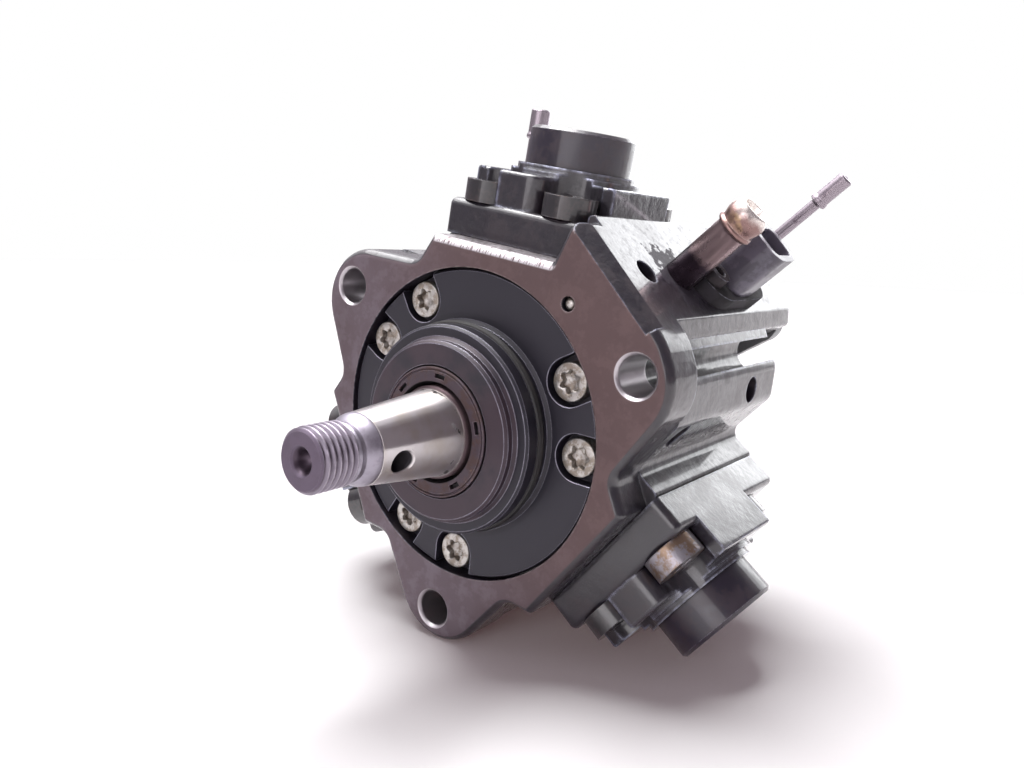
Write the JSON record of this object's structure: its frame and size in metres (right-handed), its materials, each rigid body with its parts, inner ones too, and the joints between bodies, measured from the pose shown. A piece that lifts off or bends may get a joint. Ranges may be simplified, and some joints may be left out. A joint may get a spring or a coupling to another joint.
{
  "type": "three-plunger radial high-pressure diesel pump",
  "caption": "Radial-plunger diesel injection pump with a three-ear flange, taper drive shaft, cross-shaped cylinder heads and an inlet pipe.",
  "frame": {"origin": "centre of the mounting flange's front face, on the shaft's axis", "axes": "-Y along the drive shaft out of the flange, +Z towards the top cylinder head, +X towards the inlet shoulder"},
  "size_m": [0.1392, 0.1392, 0.1364],
  "materials": {
    "housing_paint": "rough cast, black painted; the front face is machined and rust-brown",
    "head_paint": "gloss black over rough casting",
    "flange_steel": "satin charcoal, turned",
    "bright_steel": "ground and polished",
    "zinc_steel": "plated, slightly stained",
    "dark_steel": "black oxide",
    "spring_steel": "plain wire",
    "hard_steel": "lapped",
    "pipe_steel": "bronze-tinted, gold at the bead",
    "nipple_steel": "grey-purple, matt",
    "bush_bronze": "plain bearing bronze",
    "pump_aluminium": "die cast",
    "metering_black": "black plated",
    "connector_plastic": "black moulded",
    "seal_rubber": "black"
  },
  "bodies": {
    "housing": {"bearing_flange": "flange_steel", "bleed_nipple": "nipple_steel", "case_o_ring": "seal_rubber", "cylinder_head_left": "head_paint", "cylinder_head_right": "head_paint", "cylinder_head_top": "head_paint", "drilling_plug": "bright_steel", "flange_screws": "zinc_steel", "front_bush": "bush_bronze", "gear_pump_cover": "pump_aluminium", "gear_pump_housing": "pump_aluminium", "gear_pump_screws": "zinc_steel", "head_bolts": "dark_steel", "head_o_rings": "seal_rubber", "head_plug_left": "dark_steel", "head_plug_right": "dark_steel", "head_plug_top": "dark_steel", "inlet_pipe": "pipe_steel", "inlet_valve_spring_left": "spring_steel", "inlet_valve_spring_right": "spring_steel", "inlet_valve_spring_top": "spring_steel", "metering_connector": "connector_plastic", "metering_screws": "zinc_steel", "metering_spring": "spring_steel", "metering_unit": "metering_black", "outlet_plugs": "dark_steel", "outlet_valve_spring_left": "spring_steel", "outlet_valve_spring_right": "spring_steel", "outlet_valve_spring_top": "spring_steel", "overflow_plug": "dark_steel", "overflow_spring": "spring_steel", "pilot_o_ring": "seal_rubber", "plunger_spring_left": "spring_steel", "plunger_spring_right": "spring_steel", "plunger_spring_top": "spring_steel", "pump_housing": "housing_paint", "rail_outlet": "dark_steel", "rear_bush": "bush_bronze", "return_nipple": "nipple_steel", "shaft_seal": "seal_rubber"},
    "shaft": {"drive_shaft": "bright_steel", "drive_coupling": "hard_steel", "drive_gear": "hard_steel"},
    "ring": {"polygon_ring": "hard_steel", "ring_bush": "bush_bronze"},
    "idler_gear": {"driven_gear": "hard_steel"},
    "metering_piston_body": {"metering_piston": "hard_steel"},
    "overflow_piston_body": {"overflow_piston": "hard_steel"},
    "plunger_top_body": {"plunger_top": "hard_steel", "foot_plate_top": "hard_steel"},
    "inlet_valve_top_body": {"inlet_valve_top": "hard_steel"},
    "outlet_ball_top_body": {"outlet_ball_top": "hard_steel"},
    "plunger_left_body": {"plunger_left": "hard_steel", "foot_plate_left": "hard_steel"},
    "inlet_valve_left_body": {"inlet_valve_left": "hard_steel"},
    "outlet_ball_left_body": {"outlet_ball_left": "hard_steel"},
    "plunger_right_body": {"plunger_right": "hard_steel", "foot_plate_right": "hard_steel"},
    "inlet_valve_right_body": {"inlet_valve_right": "hard_steel"},
    "outlet_ball_right_body": {"outlet_ball_right": "hard_steel"}
  },
  "joints": [
    {"name": "shaft_turn", "type": "hinge", "parent": "housing", "child": "shaft", "pos_m": [0, 0, 0], "axis": [0, -1, 0], "continuous": true},
    {"name": "ring_orbit", "type": "hinge", "parent": "shaft", "child": "ring", "pos_m": [0, 0.0336, -0.003], "axis": [0, -1, 0], "continuous": true},
    {"name": "idler_turn", "type": "hinge", "parent": "housing", "child": "idler_gear", "pos_m": [0, 0.075, -0.022], "axis": [0, -1, 0], "continuous": true},
    {"name": "metering_slide", "type": "slide", "parent": "housing", "child": "metering_piston_body", "axis": [0.6293, 0, 0.7771], "range_m": [0, 0.0025], "deforming": ["metering_spring"]},
    {"name": "overflow_slide", "type": "slide", "parent": "housing", "child": "overflow_piston_body", "axis": [0, 1, 0], "range_m": [0, 0.002], "deforming": ["overflow_spring"]},
    {"name": "plunger_top_slide", "type": "slide", "parent": "housing", "child": "plunger_top_body", "axis": [0, 0, 1], "range_m": [-0.003, 0], "deforming": ["plunger_spring_top"]},
    {"name": "inlet_valve_top_lift", "type": "slide", "parent": "housing", "child": "inlet_valve_top_body", "axis": [0, 0, 1], "range_m": [0, 0.0008], "deforming": ["inlet_valve_spring_top"]},
    {"name": "outlet_ball_top_lift", "type": "slide", "parent": "housing", "child": "outlet_ball_top_body", "axis": [0, 1, 0], "range_m": [0, 0.0009], "deforming": ["outlet_valve_spring_top"]},
    {"name": "plunger_left_slide", "type": "slide", "parent": "housing", "child": "plunger_left_body", "axis": [-0.866, 0, -0.5], "range_m": [-0.0015, 0], "deforming": ["plunger_spring_left"]},
    {"name": "inlet_valve_left_lift", "type": "slide", "parent": "housing", "child": "inlet_valve_left_body", "axis": [-0.866, 0, -0.5], "range_m": [0, 0.0008], "deforming": ["inlet_valve_spring_left"]},
    {"name": "outlet_ball_left_lift", "type": "slide", "parent": "housing", "child": "outlet_ball_left_body", "axis": [0, 1, 0], "range_m": [0, 0.0009], "deforming": ["outlet_valve_spring_left"]},
    {"name": "plunger_right_slide", "type": "slide", "parent": "housing", "child": "plunger_right_body", "axis": [-0.866, 0, 0.5], "range_m": [0, 0.0015], "deforming": ["plunger_spring_right"]},
    {"name": "inlet_valve_right_lift", "type": "slide", "parent": "housing", "child": "inlet_valve_right_body", "axis": [0.866, 0, -0.5], "range_m": [0, 0.0008], "deforming": ["inlet_valve_spring_right"]},
    {"name": "outlet_ball_right_lift", "type": "slide", "parent": "housing", "child": "outlet_ball_right_body", "axis": [0, 1, 0], "range_m": [0, 0.0009], "deforming": ["outlet_valve_spring_right"]}
  ],
  "couplings": [
    {"joint": "ring_orbit", "follows": "shaft_turn", "ratio": -1},
    {"joint": "idler_turn", "follows": "shaft_turn", "ratio": -1}
  ]
}
